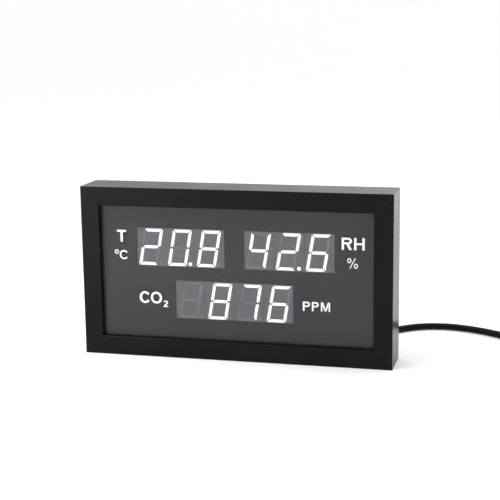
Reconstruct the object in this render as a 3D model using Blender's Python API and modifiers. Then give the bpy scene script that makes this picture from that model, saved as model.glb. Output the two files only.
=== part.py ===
"""Carbon dioxide monitor: a desk display in a deep black frame, with its mains lead.

Units are metres, +Z is up, the display faces -Y. The origin is the centre of the frame's
lower face, on the surface that the monitor stands on.
"""
import math

import bmesh
import bpy
from mathutils import Matrix, Vector
from mathutils.geometry import interpolate_bezier

# Overall size of the frame
FRAME_WIDTH = 0.3250
FRAME_HEIGHT = 0.1775
FRAME_DEPTH = 0.0470
GAP = 0.0003                    # clearance between pieces that touch
MITRE_GAP = 0.0001              # clearance across each mitred corner

# Frame extrusion
WALL = 0.0020                   # outer wall and front face
FACE_WIDTH = 0.0195             # width of the front face
RETURN_DEPTH = 0.0045           # front face to the window's seat
RETURN_WALL = 0.0018
FLANGE_WIDTH = 0.0095           # rear flange, from the outer face inwards
FLANGE_DEPTH = 0.0397           # front face to the flange's front side
EDGE_RADIUS = 0.0005

# Depths behind the front face, front to back
WINDOW_OVERLAP = 0.0045         # how far the window reaches behind the front face
WINDOW_THICKNESS = 0.0030
MASK_THICKNESS = 0.0012
DIGIT_DEPTH = 0.0090
BOARD_THICKNESS = 0.0016
COVER_THICKNESS = 0.0015
WINDOW_FRONT = RETURN_DEPTH + GAP
MASK_FRONT = WINDOW_FRONT + WINDOW_THICKNESS + GAP
DIGIT_FRONT = MASK_FRONT + GAP
DISPLAY_BOARD_FRONT = DIGIT_FRONT + DIGIT_DEPTH + GAP
DISPLAY_BOARD_BACK = DISPLAY_BOARD_FRONT + BOARD_THICKNESS
COVER_FRONT = FLANGE_DEPTH + WALL + GAP
COVER_BACK = COVER_FRONT + COVER_THICKNESS

# Digits: modules stand side by side, their windows are centred on these places
DIGIT_PITCH = 0.0310
DIGIT_HEIGHT = 0.0398
UPPER_ROW_HEIGHT = FRAME_HEIGHT / 2 + 0.0262
LOWER_ROW_HEIGHT = FRAME_HEIGHT / 2 - 0.0282
DIGIT_ROWS = (
    ("temperature_digit", 3, -0.0581, UPPER_ROW_HEIGHT),
    ("humidity_digit", 3, 0.0561, UPPER_ROW_HEIGHT),
    ("co2_digit", 4, -0.0019, LOWER_ROW_HEIGHT),
)

# Corner brackets
BRACKET_LEG = 0.0450
BRACKET_THICKNESS = 0.0020

# Rear cover: vents, screws and the places of what passes through it
SCREW_INSET = 0.0058
SCREW_PLACES = (
    (-0.1100, SCREW_INSET),
    (0.0600, SCREW_INSET),
    (-0.1100, FRAME_HEIGHT - SCREW_INSET),
    (0.1100, FRAME_HEIGHT - SCREW_INSET),
    (SCREW_INSET - FRAME_WIDTH / 2, FRAME_HEIGHT / 2),
    (FRAME_WIDTH / 2 - SCREW_INSET, FRAME_HEIGHT / 2),
)
SCREW_HOLE_RADIUS = 0.0017
SCREW_SHANK_RADIUS = 0.0014
SCREW_HEAD_RADIUS = 0.0028
SCREW_HEAD_HEIGHT = 0.0017
SCREW_LENGTH = 0.0052
VENT_WIDTH = 0.0030
VENT_PITCH = 0.0070
VENT_GROUPS = (                 # count, centre X, centre Z, slot height
    (8, -0.0890, 0.0330, 0.0240),
    (11, -0.0890, 0.1480, 0.0180),
    (11, 0.0790, 0.1480, 0.0180),
)

# Boards
SPACER_RADIUS = 0.0030
SPACER_PLACES = [(x, z) for x in (-0.1390, 0.1390) for z in (0.0240, FRAME_HEIGHT - 0.0240)]
MAIN_BOARD_FRONT = 0.0290
MAIN_BOARD_BACK = MAIN_BOARD_FRONT + BOARD_THICKNESS
MAIN_BOARD_LOW = (-0.1290, 0.0180)
MAIN_BOARD_HIGH = (-0.0340, 0.1240)
STANDOFF_RADIUS = 0.0025
MAIN_STANDOFF_PLACES = ((-0.1250, 0.0220), (-0.0380, 0.0220))
POWER_BOARD_FRONT = 0.0368
POWER_BOARD_BACK = POWER_BOARD_FRONT + BOARD_THICKNESS
POWER_BOARD_LOW = (0.0300, 0.0560)
POWER_BOARD_HIGH = (0.1300, 0.1260)
POWER_STANDOFF_PLACES = ((0.0345, 0.0605), (0.1255, 0.1215))

HEADER_LOW = (-0.1100, 0.1160)
HEADER_HIGH = (-0.0600, 0.1210)
MAIN_BOARD_BLOCKS = (           # name, finish, low corner, high corner, height, edge bevel
    ("microcontroller", "black_plastic", (-0.1040, 0.1000), (-0.0920, 0.1120), 0.0012, 0.0002),
    ("co2_sensor", "sensor_gold", (-0.1060, 0.0230), (-0.0725, 0.0430), 0.0085, 0.0008),
    ("humidity_sensor", "nylon", (-0.0610, 0.0240), (-0.0530, 0.0320), 0.0025, 0.0003),
)
TERMINAL_LOW_Z = 0.0570
POWER_BOARD_BLOCKS = (
    ("power_converter", "black_plastic", (0.0400, 0.0720), (0.0920, 0.1060), 0.0115, 0.0006),
    ("fuse_holder", "black_plastic", (0.1000, 0.0820), (0.1220, 0.0900), 0.0080, 0.0005),
    ("terminal_block", "terminal_green", (0.1060, TERMINAL_LOW_Z), (0.1240, 0.0680),
     0.0100, 0.0004),
)
SUPPLY_RADIUS = 0.0011
SUPPLY_ROUTE = (                # X, depth behind the front face, Z; it starts and ends on a board
    (-0.0420, MAIN_BOARD_BACK + 2 * GAP, 0.1050),
    (-0.0418, 0.0335, 0.1050),
    (-0.0390, 0.0356, 0.1053),
    (-0.0250, 0.0366, 0.1062),
    (-0.0050, 0.0355, 0.1075),
    (0.0180, 0.0330, 0.1100),
    (0.0320, 0.0318, 0.1120),
    (0.0360, 0.0332, 0.1125),
    (0.0365, POWER_BOARD_FRONT - 3 * GAP, 0.1125),
)

# Push buttons in the rear cover
BUTTON_PLACES = (("calibrate_button", -0.0560), ("brightness_button", -0.0760))
BUTTON_HEIGHT = 0.0860
BUTTON_RADIUS = 0.0033
BUTTON_HOLE_RADIUS = 0.0037
BUTTON_FLANGE_RADIUS = 0.0050
BUTTON_STEM_RADIUS = 0.0020
BUTTON_BACK = 0.0452            # how far back the finger face stands
BUTTON_STEM_END = 0.0359
BUTTON_FLANGE_FRONT = COVER_FRONT - 0.0024
BUTTON_FLANGE_BACK = COVER_FRONT - 0.0006
BUTTON_EDGE = 0.0004
SWITCH_SIZE = 0.0060
SWITCH_HEIGHT = 0.0035
SWITCH_BEVEL = 0.0003

# Mains lead: strain relief, the stretch on the floor, the coil and the plug
CORD_RADIUS = 0.0035
RELIEF_X = 0.1150
RELIEF_Z = 0.0240
RELIEF_LENGTH = 0.0300
RELIEF_HOLE_RADIUS = 0.0065
RELIEF_TIP_RADIUS = 0.0045
RELIEF_PROFILE = (              # radius and height from the cover's back, from the tip down
    (0, RELIEF_LENGTH - GAP),
    (RELIEF_TIP_RADIUS - 0.0004, RELIEF_LENGTH - GAP),
    (RELIEF_TIP_RADIUS, RELIEF_LENGTH - GAP - 0.0006),
    (0.0060, 0.0045),
    (0.0090, 0.0036),
    (0.0095, 0.0030),
    (0.0095, GAP),
    (RELIEF_HOLE_RADIUS - GAP, GAP),
    (RELIEF_HOLE_RADIUS - GAP, -COVER_THICKNESS - GAP),
    (0.0073, -COVER_THICKNESS - GAP),
    (0.0066, -0.0060),
    (0, -0.0060),
)
INNER_END_FRONT = 0.0310
INNER_END_BACK = 0.0357
CORE_RADIUS = 0.0010
CORE_PITCH = 0.0022
CORE_ROUTE = (                  # offset for a side core, depth, height above the lead's axis
    (0.0000, INNER_END_FRONT + 0.0010, 0.0004),
    (0.0000, INNER_END_FRONT - 0.0012, 0.0008),
    (0.0010, 0.0276, 0.0060),
    (0.0025, 0.0282, 0.0160),
    (0.0033, 0.0315, TERMINAL_LOW_Z - 0.0060 - RELIEF_Z),
    (0.0033, 0.0315, TERMINAL_LOW_Z - GAP - RELIEF_Z),
)
CORD_FLOOR_Z = 0.0037
EXIT_Y = COVER_BACK - FRAME_DEPTH / 2 + RELIEF_LENGTH
CORD_ROUTE = (
    (RELIEF_X, EXIT_Y, RELIEF_Z),
    (0.1151, 0.0600, 0.0238),
    (0.1163, 0.0740, 0.0208),
    (0.1200, 0.0880, 0.0145),
    (0.1275, 0.1005, 0.0078),
    (0.1380, 0.1118, 0.0043),
    (0.1502, 0.1228, CORD_FLOOR_Z),
    (0.1645, 0.1345, CORD_FLOOR_Z),
    (0.1797, 0.1416, CORD_FLOOR_Z),
    (0.1951, 0.1443, CORD_FLOOR_Z),
    (0.2111, 0.1431, CORD_FLOOR_Z),
    (0.2273, 0.1384, CORD_FLOOR_Z),
    (0.2433, 0.1312, CORD_FLOOR_Z),
    (0.2592, 0.1215, CORD_FLOOR_Z),
    (0.2666, 0.1160, 0.0040),
    (0.2722, 0.1087, 0.0043),
)
COIL_CENTRE = (0.3220, 0.0900)
COIL_INNER_TURN = 0.0275
COIL_OUTER_TURN = 0.0450
COIL_LAYERS = 2
COIL_LIFT = 0.0012              # the tie's band passes under the coil
COIL_BASE_Z = COIL_LIFT + CORD_RADIUS
TAIL_ANGLE = math.radians(220)  # where the lead leaves the coil, from +X towards +Y
TAIL_HEADING = TAIL_ANGLE + math.pi / 2
TAIL_LENGTH = 0.0480
TAIL_CLEARANCE = 0.0280         # length of lead still beside the coil, left to its solid
TAIL_LEVEL_END = 0.0040
TAIL_SAG = 0.0010
PLUG_RADIUS = 0.0185
PLUG_AXIS_Z = PLUG_RADIUS + 0.0001
PLUG_BODY_LENGTH = 0.0340
PLUG_RELIEF_LENGTH = 0.0220
PLUG_FACE = PLUG_RELIEF_LENGTH + PLUG_BODY_LENGTH
PLUG_PROFILE = (                # radius and height from the lead's end, from the face down
    (0, PLUG_FACE),
    (PLUG_RADIUS - 0.0010, PLUG_FACE),
    (PLUG_RADIUS, PLUG_FACE - 0.0010),
    (PLUG_RADIUS, PLUG_FACE - 0.0170),
    (PLUG_RADIUS - 0.0030, PLUG_FACE - 0.0210),
    (0.0120, PLUG_RELIEF_LENGTH + 0.0060),
    (0.0085, PLUG_RELIEF_LENGTH),
    (0.0060, PLUG_RELIEF_LENGTH - 0.0015),
    (0.0046, 0),
    (0, 0),
)
PIN_RADIUS = 0.0024
PIN_LENGTH = 0.0190
PIN_SPACING = 0.0190
PIN_TIP = 0.0012
TIE_WIDTH = 0.0120
TIE_BAND = 0.0008
TIE_CORNER = 0.0022
CORD_STEP = 0.0065              # spacing of the points along a lead or cable

# Base colour, roughness and metallic of each finish
FINISHES = {
    "anodised_black": ((0.030, 0.030, 0.031), 0.38, 0.0),
    "zinc_steel": ((0.56, 0.57, 0.58), 0.35, 1.0),
    "smoked_glass": ((0.020, 0.021, 0.022), 0.08, 0.0),
    "mask_black": ((0.020, 0.020, 0.021), 0.60, 0.0),
    "digit_grey": ((0.170, 0.175, 0.180), 0.55, 0.0),
    "board_green": ((0.015, 0.110, 0.045), 0.45, 0.0),
    "cover_black": ((0.028, 0.028, 0.029), 0.50, 0.0),
    "brass": ((0.70, 0.52, 0.22), 0.30, 1.0),
    "nylon": ((0.75, 0.74, 0.70), 0.50, 0.0),
    "black_plastic": ((0.022, 0.022, 0.023), 0.42, 0.0),
    "sensor_gold": ((0.66, 0.55, 0.30), 0.35, 1.0),
    "terminal_green": ((0.05, 0.25, 0.10), 0.50, 0.0),
    "cord_black": ((0.024, 0.024, 0.025), 0.45, 0.0),
    "pin_nickel": ((0.66, 0.64, 0.60), 0.25, 1.0),
}

ROUND_STEPS = 24
PARTS = "carbon_dioxide_monitor"
CUTTERS = "cutters"


def clear_scene():
    """Remove every object and the collections of an earlier run."""
    for item in list(bpy.data.objects):
        bpy.data.objects.remove(item, do_unlink=True)
    for name in (PARTS, CUTTERS):
        if name in bpy.data.collections:
            bpy.data.collections.remove(bpy.data.collections[name])
        bpy.context.scene.collection.children.link(bpy.data.collections.new(name))


def make_material(name, colour, roughness, metallic=0.0):
    """A plain Principled finish, made once for each name."""
    if name in bpy.data.materials:
        return bpy.data.materials[name]
    finish = bpy.data.materials.new(name)
    finish.use_nodes = True
    shader = finish.node_tree.nodes["Principled BSDF"]
    shader.inputs["Base Color"].default_value = (*colour, 1.0)
    shader.inputs["Roughness"].default_value = roughness
    shader.inputs["Metallic"].default_value = metallic
    finish.diffuse_color = (*colour, 1.0)
    return finish


def place(name, mesh, finish, location=(0, 0, 0), rotation=(0, 0, 0), collection=PARTS):
    """Put a mesh into the scene as a named object with its finish."""
    item = bpy.data.objects.new(name, mesh)
    item.location = location
    item.rotation_euler = rotation
    bpy.data.collections[collection].objects.link(item)
    if finish:
        mesh.materials.clear()
        mesh.materials.append(make_material(finish, *FINISHES[finish]))
    if collection == CUTTERS:
        item.hide_render = True
        item.display_type = "WIRE"
    bpy.context.view_layer.update()
    return item


def depth(distance):
    """World Y of a plane this far behind the front face."""
    return distance - FRAME_DEPTH / 2


def block(name, finish, low, high, bevel=0.0):
    """A box between two corners, with small bevelled edges if asked."""
    low, high = Vector(low), Vector(high)
    mesh = bpy.data.meshes.new(name)
    box = bmesh.new()
    bmesh.ops.create_cube(box, size=1.0, matrix=Matrix.Diagonal((*(high - low), 1.0)))
    box.to_mesh(mesh)
    box.free()
    item = place(name, mesh, finish, location=(low + high) / 2)
    if bevel:
        rounding = item.modifiers.new("edges", "BEVEL")
        rounding.width = bevel
        rounding.segments = 1
    return item


def layer_block(name, finish, low, high, front, back, bevel=0.0):
    """A box given by its X and Z corners and its depths behind the front face."""
    low_corner = (low[0], depth(front), low[1])
    high_corner = (high[0], depth(back), high[1])
    return block(name, finish, low_corner, high_corner, bevel)


def pillar(name, finish, x, z, front, back, radius, sides=ROUND_STEPS, collection=PARTS):
    """A round or hexagonal post along Y between two depths."""
    mesh = bpy.data.meshes.new(name)
    post = bmesh.new()
    bmesh.ops.create_cone(post, cap_ends=True, segments=sides, radius1=radius,
                          radius2=radius, depth=back - front)
    post.to_mesh(mesh)
    post.free()
    if sides >= ROUND_STEPS:
        mesh.shade_smooth()
        mesh.set_sharp_from_angle(angle=math.radians(40))
    middle = depth((front + back) / 2)
    return place(name, mesh, finish, (x, middle, z), (math.pi / 2, 0, 0), collection)


def turned(name, finish, profile, location, rotation, steps=ROUND_STEPS, ring=False):
    """A solid turned about local Z from (radius, height) points, listed from the top down.

    A ring's profile is a closed loop that starts at the top and goes down the outer side.
    """
    mesh = bpy.data.meshes.new(name)
    points = [(radius, 0.0, height) for radius, height in profile]
    edges = [(index, index + 1) for index in range(len(points) - 1)]
    if ring:
        edges.append((len(points) - 1, 0))
    mesh.from_pydata(points, edges, [])
    item = place(name, mesh, finish, location, rotation)
    screw = item.modifiers.new("turn", "SCREW")
    screw.axis = "Z"
    screw.steps = steps
    screw.render_steps = steps
    screw.use_merge_vertices = True
    screw.merge_threshold = 0.00001
    screw.use_smooth_shade = True
    return item


def rounded_outline(corners, segments=3):
    """Outline points from (x, y, radius) corners, each round one drawn as an arc."""
    outline = []
    for index, (x, y, radius) in enumerate(corners):
        corner = Vector((x, y))
        before = Vector(corners[index - 1][:2]) - corner
        after = Vector(corners[(index + 1) % len(corners)][:2]) - corner
        if radius == 0.0:
            outline.append((x, y))
            continue
        before.normalize()
        after.normalize()
        reach = radius / math.tan(before.angle(after) / 2)
        centre = corner + (before + after).normalized() * math.hypot(radius, reach)
        start = corner + before * reach - centre
        end = corner + after * reach - centre
        for step in range(segments + 1):
            arm = start.lerp(end, step / segments).normalized() * radius
            outline.append(tuple(centre + arm))
    return outline


def rectangle(low, high, radius=0.0):
    """Outline of an upright rectangle, with rounded corners if asked."""
    corners = ((low[0], low[1]), (high[0], low[1]), (high[0], high[1]), (low[0], high[1]))
    return rounded_outline([(*corner, radius) for corner in corners])


def circle(x, y, radius, steps=ROUND_STEPS):
    """Points of a circle."""
    angles = [2 * math.pi * step / steps for step in range(steps)]
    return [(x + radius * math.cos(angle), y + radius * math.sin(angle)) for angle in angles]


def welded_mesh(item):
    """The evaluated mesh of a curve with its caps joined to its sides; the curve is removed."""
    bpy.context.view_layer.update()
    evaluated = item.evaluated_get(bpy.context.evaluated_depsgraph_get())
    mesh = bpy.data.meshes.new_from_object(evaluated)
    bpy.data.objects.remove(item, do_unlink=True)
    solid = bmesh.new()
    solid.from_mesh(mesh)
    bmesh.ops.remove_doubles(solid, verts=solid.verts, dist=0.000002)
    bmesh.ops.recalc_face_normals(solid, faces=solid.faces)
    solid.to_mesh(mesh)
    solid.free()
    return mesh


def extruded(name, outlines, thickness):
    """Mesh of a flat outline, with holes for the further outlines, centred on its thickness."""
    curve = bpy.data.curves.new(name, "CURVE")
    curve.dimensions = "2D"
    curve.fill_mode = "BOTH"
    curve.extrude = thickness / 2
    for outline in outlines:
        spline = curve.splines.new("POLY")
        spline.points.add(len(outline) - 1)
        for point, (x, y) in zip(spline.points, outline):
            point.co = (x, y, 0.0, 1.0)
        spline.use_cyclic_u = True
    return welded_mesh(place(name + "_outline", curve, None))


def upright_plate(name, finish, outlines, front, back):
    """A plate in the XZ plane between two depths behind the front face."""
    mesh = extruded(name, outlines, back - front)
    return place(name, mesh, finish, (0, depth((front + back) / 2), 0), (math.pi / 2, 0, 0))


def smooth_path(route, spacing):
    """Evenly spaced points on a smooth curve through the route's points."""
    knots = [Vector(point) for point in route]
    knots.insert(0, 2 * knots[0] - knots[1])
    knots.append(2 * knots[-1] - knots[-2])
    dense = []
    for before, start, end, after in zip(knots, knots[1:], knots[2:], knots[3:]):
        leave = start + (end - before) / 6
        arrive = end - (after - start) / 6
        dense += interpolate_bezier(start, leave, arrive, end, 25)[:-1]
    dense.append(knots[-2])
    travelled = [0.0]
    for near, far in zip(dense, dense[1:]):
        travelled.append(travelled[-1] + (far - near).length)
    count = max(2, round(travelled[-1] / spacing))
    path = []
    index = 0
    for step in range(count + 1):
        target = travelled[-1] * step / count
        while index < len(dense) - 2 and travelled[index + 1] < target:
            index += 1
        share = (target - travelled[index]) / (travelled[index + 1] - travelled[index])
        path.append(dense[index].lerp(dense[index + 1], share))
    return path


def tube_mesh(name, path, radius, resolution=2):
    """Closed mesh of a round tube along a path."""
    curve = bpy.data.curves.new(name, "CURVE")
    curve.dimensions = "3D"
    curve.bevel_depth = radius
    curve.bevel_resolution = resolution
    curve.use_fill_caps = True
    spline = curve.splines.new("POLY")
    spline.points.add(len(path) - 1)
    for point, place_on_path in zip(spline.points, path):
        point.co = (*place_on_path, 1.0)
    return welded_mesh(place(name + "_path", curve, None))


def combine(item, other, operation):
    """Cut a piece with another, or join the two."""
    change = item.modifiers.new(operation.lower(), "BOOLEAN")
    change.operation = operation
    change.object = other
    change.solver = "EXACT"


def build_frame():
    """Four mitred lengths of one hollow extrusion."""
    profile = rounded_outline([
        (0, 0, EDGE_RADIUS),
        (FACE_WIDTH, 0, EDGE_RADIUS),
        (FACE_WIDTH, RETURN_DEPTH, 0.0),
        (FACE_WIDTH - RETURN_WALL, RETURN_DEPTH, 0.0),
        (FACE_WIDTH - RETURN_WALL, WALL, 0.0),
        (WALL, WALL, 0.0),
        (WALL, FLANGE_DEPTH, 0.0),
        (FLANGE_WIDTH, FLANGE_DEPTH, 0.0),
        (FLANGE_WIDTH, FLANGE_DEPTH + WALL, 0.0),
        (WALL, FLANGE_DEPTH + WALL, 0.0),
        (WALL, FRAME_DEPTH, 0.0),
        (0, FRAME_DEPTH, EDGE_RADIUS),
    ])
    half_width = FRAME_WIDTH / 2
    half_height = FRAME_HEIGHT / 2
    sides = (
        ("frame_left", FRAME_HEIGHT, 0, (-half_width, depth(0), half_height)),
        ("frame_top", FRAME_WIDTH, 90, (0, depth(0), FRAME_HEIGHT)),
        ("frame_right", FRAME_HEIGHT, 180, (half_width, depth(0), half_height)),
        ("frame_bottom", FRAME_WIDTH, -90, (0, depth(0), 0)),
    )
    bars = {}
    for name, length, turn, location in sides:
        mesh = extruded(name, [profile], length)
        for vertex in mesh.vertices:
            inset = vertex.co.x + MITRE_GAP
            vertex.co.z -= math.copysign(inset, vertex.co.z)
        bars[name] = place(name, mesh, "anodised_black", location, (0, math.radians(turn), 0))
    for index, (x, z) in enumerate(SCREW_PLACES):
        hole = pillar(f"flange_hole_{index + 1}", None, x, z, FLANGE_DEPTH - WALL,
                      FLANGE_DEPTH + 2 * WALL, SCREW_HOLE_RADIUS, collection=CUTTERS)
        if abs(x) > half_width - FLANGE_WIDTH:
            side = "frame_left" if x < 0 else "frame_right"
        else:
            side = "frame_bottom" if z < half_height else "frame_top"
        combine(bars[side], hole, "DIFFERENCE")


def build_brackets():
    """Flat angle brackets that hold the mitred corners from inside the extrusion."""
    low = WALL + GAP
    high = FACE_WIDTH - RETURN_WALL - GAP
    reach = low + BRACKET_LEG
    corner = [(low, low), (reach, low), (reach, high), (high, high), (high, reach), (low, reach)]
    for index, (right, top) in enumerate(((0, 0), (1, 0), (0, 1), (1, 1))):
        outline = []
        for along, up in corner:
            x = FRAME_WIDTH / 2 - along if right else along - FRAME_WIDTH / 2
            outline.append((x, FRAME_HEIGHT - up if top else up))
        upright_plate(f"corner_bracket_{index + 1}", "zinc_steel", [outline],
                      WALL + GAP, WALL + GAP + BRACKET_THICKNESS)


def build_display():
    """Window, mask, digit modules and the board that carries them."""
    inset = FACE_WIDTH - WINDOW_OVERLAP
    low = (inset - FRAME_WIDTH / 2, inset)
    high = (FRAME_WIDTH / 2 - inset, FRAME_HEIGHT - inset)
    upright_plate("front_window", "smoked_glass", [rectangle(low, high)],
                  WINDOW_FRONT, WINDOW_FRONT + WINDOW_THICKNESS)
    mask = [rectangle(low, high)]
    for name, count, centre, height in DIGIT_ROWS:
        half = (count * DIGIT_PITCH + GAP) / 2
        rise = DIGIT_HEIGHT / 2 + GAP
        mask.append(rectangle((centre - half, height - rise), (centre + half, height + rise)))
        for index in range(count):
            x = centre + (index - (count - 1) / 2) * DIGIT_PITCH
            half_digit = (DIGIT_PITCH - GAP) / 2
            layer_block(f"{name}_{index + 1}", "digit_grey",
                        (x - half_digit, height - DIGIT_HEIGHT / 2),
                        (x + half_digit, height + DIGIT_HEIGHT / 2),
                        DIGIT_FRONT, DIGIT_FRONT + DIGIT_DEPTH)
    upright_plate("display_mask", "mask_black", mask, MASK_FRONT, MASK_FRONT + MASK_THICKNESS)
    layer_block("display_board", "board_green", low, high, DISPLAY_BOARD_FRONT, DISPLAY_BOARD_BACK)


def build_cover():
    """Rear cover with vents and holes, its screws and the spacers behind it."""
    edge = WALL + GAP
    outlines = [rectangle((edge - FRAME_WIDTH / 2, edge),
                                 (FRAME_WIDTH / 2 - edge, FRAME_HEIGHT - edge))]
    for count, centre, height, tall in VENT_GROUPS:
        for index in range(count):
            x = centre + (index - (count - 1) / 2) * VENT_PITCH
            half = VENT_WIDTH / 2
            outlines.append(rectangle((x - half, height - tall / 2),
                                      (x + half, height + tall / 2), half))
    outlines += [circle(x, z, SCREW_HOLE_RADIUS) for x, z in SCREW_PLACES]
    outlines += [circle(x, BUTTON_HEIGHT, BUTTON_HOLE_RADIUS) for _, x in BUTTON_PLACES]
    outlines.append(circle(RELIEF_X, RELIEF_Z, RELIEF_HOLE_RADIUS))
    upright_plate("rear_cover", "cover_black", outlines, COVER_FRONT, COVER_BACK)
    head = SCREW_HEAD_HEIGHT
    profile = [
        (0, head),
        (SCREW_HEAD_RADIUS * 0.65, head * 0.92),
        (SCREW_HEAD_RADIUS * 0.95, head * 0.50),
        (SCREW_HEAD_RADIUS, 0),
        (SCREW_SHANK_RADIUS, 0),
        (SCREW_SHANK_RADIUS, -SCREW_LENGTH),
        (0, -SCREW_LENGTH),
    ]
    for index, (x, z) in enumerate(SCREW_PLACES):
        turned(f"cover_screw_{index + 1}", "zinc_steel", profile,
               (x, depth(COVER_BACK + GAP), z), (-math.pi / 2, 0, 0))
    for index, (x, z) in enumerate(SPACER_PLACES):
        pillar(f"board_spacer_{index + 1}", "brass", x, z, DISPLAY_BOARD_BACK + GAP,
               COVER_FRONT - GAP, SPACER_RADIUS, sides=6)


def build_main_board():
    """Main board with its processor, both sensors and the two push buttons."""
    layer_block("main_board", "board_green", MAIN_BOARD_LOW, MAIN_BOARD_HIGH,
                MAIN_BOARD_FRONT, MAIN_BOARD_BACK)
    for index, (x, z) in enumerate(MAIN_STANDOFF_PLACES):
        pillar(f"main_standoff_{index + 1}", "nylon", x, z, DISPLAY_BOARD_BACK + GAP,
               MAIN_BOARD_FRONT - GAP, STANDOFF_RADIUS)
    layer_block("board_header", "black_plastic", HEADER_LOW, HEADER_HIGH,
                DISPLAY_BOARD_BACK + GAP, MAIN_BOARD_FRONT - GAP)
    top = MAIN_BOARD_BACK + GAP
    for name, finish, low, high, height, bevel in MAIN_BOARD_BLOCKS:
        layer_block(name, finish, low, high, top, top + height, bevel)
    profile = [
        (0, BUTTON_BACK),
        (BUTTON_RADIUS - BUTTON_EDGE, BUTTON_BACK),
        (BUTTON_RADIUS, BUTTON_BACK - BUTTON_EDGE),
        (BUTTON_RADIUS, BUTTON_FLANGE_BACK),
        (BUTTON_FLANGE_RADIUS, BUTTON_FLANGE_BACK),
        (BUTTON_FLANGE_RADIUS, BUTTON_FLANGE_FRONT),
        (BUTTON_STEM_RADIUS, BUTTON_FLANGE_FRONT),
        (BUTTON_STEM_RADIUS, BUTTON_STEM_END),
        (0, BUTTON_STEM_END),
    ]
    half = SWITCH_SIZE / 2
    for index, (name, x) in enumerate(BUTTON_PLACES):
        layer_block(f"tact_switch_{index + 1}", "black_plastic", (x - half, BUTTON_HEIGHT - half),
                    (x + half, BUTTON_HEIGHT + half), top, top + SWITCH_HEIGHT, SWITCH_BEVEL)
        turned(name, "black_plastic", profile, (x, depth(0), BUTTON_HEIGHT), (-math.pi / 2, 0, 0))


def build_power_board():
    """Mains converter on its own board, with terminals, fuse and the wiring inside."""
    layer_block("power_board", "board_green", POWER_BOARD_LOW, POWER_BOARD_HIGH,
                POWER_BOARD_FRONT, POWER_BOARD_BACK)
    for index, (x, z) in enumerate(POWER_STANDOFF_PLACES):
        pillar(f"power_standoff_{index + 1}", "nylon", x, z, POWER_BOARD_BACK + GAP,
               COVER_FRONT - GAP, STANDOFF_RADIUS)
    top = POWER_BOARD_FRONT - GAP
    for name, finish, low, high, height, bevel in POWER_BOARD_BLOCKS:
        layer_block(name, finish, low, high, top - height, top, bevel)
    supply_route = [(x, depth(behind), z) for x, behind, z in SUPPLY_ROUTE]
    supply = tube_mesh("supply_cable", smooth_path(supply_route, 0.0040), SUPPLY_RADIUS)
    place("supply_cable", supply, "cord_black")
    lead_end = pillar("mains_lead_inner_end", "cord_black", RELIEF_X, RELIEF_Z, INNER_END_FRONT,
                      INNER_END_BACK, CORD_RADIUS)
    for index, side in enumerate((-1, 0, 1)):
        route = [(RELIEF_X + side * (CORE_PITCH + offset), depth(behind), RELIEF_Z + height)
                 for offset, behind, height in CORE_ROUTE]
        core = tube_mesh(f"core_{index + 1}", smooth_path(route, 0.0030), CORE_RADIUS)
        core_guide = place(f"core_{index + 1}", core, None, collection=CUTTERS)
        combine(lead_end, core_guide, "UNION")


def build_mains_lead():
    """Strain relief, the lead along the surface, its coil, tie and plug."""
    turned("strain_relief", "black_plastic", RELIEF_PROFILE,
           (RELIEF_X, depth(COVER_BACK), RELIEF_Z), (-math.pi / 2, 0, 0))
    cord = tube_mesh("power_cord", smooth_path(CORD_ROUTE, CORD_STEP), CORD_RADIUS)
    place("power_cord", cord, "cord_black")
    coil_top = COIL_LIFT + 2 * CORD_RADIUS * COIL_LAYERS + 0.0001
    inner_radius = COIL_INNER_TURN - CORD_RADIUS - 0.0001
    outer_radius = COIL_OUTER_TURN + CORD_RADIUS + 0.0001
    section = rounded_outline([
        (inner_radius, coil_top, CORD_RADIUS),
        (outer_radius, coil_top, CORD_RADIUS),
        (outer_radius, COIL_LIFT, CORD_RADIUS),
        (inner_radius, COIL_LIFT, CORD_RADIUS),
    ])
    turned("power_cord_coil", "cord_black", section, (*COIL_CENTRE, 0), (0, 0, 0),
           steps=48, ring=True)
    band = COIL_LIFT - GAP
    tie_x = COIL_CENTRE[0]
    inner_side = math.sqrt(inner_radius ** 2 - TIE_WIDTH ** 2 / 4) - GAP
    inside_low = (tie_x + inner_side, band)
    inside_high = (tie_x + outer_radius + GAP, coil_top + GAP)
    outside_low = (inside_low[0] - TIE_BAND, band - TIE_BAND)
    outside_high = (inside_high[0] + TIE_BAND, inside_high[1] + TIE_BAND)
    tie_outlines = [rectangle(outside_low, outside_high, TIE_CORNER + TIE_BAND),
                    rectangle(inside_low, inside_high, TIE_CORNER)]
    tie = extruded("cord_tie", tie_outlines, TIE_WIDTH)
    place("cord_tie", tie, "cord_black", (0, COIL_CENTRE[1], 0), (math.pi / 2, 0, 0))
    heading = Vector((math.cos(TAIL_HEADING), math.sin(TAIL_HEADING), 0))
    start = Vector((
        COIL_CENTRE[0] + COIL_OUTER_TURN * math.cos(TAIL_ANGLE),
        COIL_CENTRE[1] + COIL_OUTER_TURN * math.sin(TAIL_ANGLE),
        COIL_BASE_Z + 2 * CORD_RADIUS * (COIL_LAYERS - 1),
    ))
    plug_end = start + heading * TAIL_LENGTH
    plug_end.z = PLUG_AXIS_Z
    tail_start = start.lerp(plug_end, TAIL_CLEARANCE / TAIL_LENGTH)
    tail_route = (
        tail_start,
        (tail_start + plug_end) / 2 + Vector((0, 0, TAIL_SAG)),
        plug_end - heading * TAIL_LEVEL_END,
        plug_end,
    )
    tail = tube_mesh("power_cord_tail", smooth_path(tail_route, CORD_STEP), CORD_RADIUS)
    place("power_cord_tail", tail, "cord_black")
    build_plug(plug_end + heading * 2 * GAP, heading)


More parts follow.
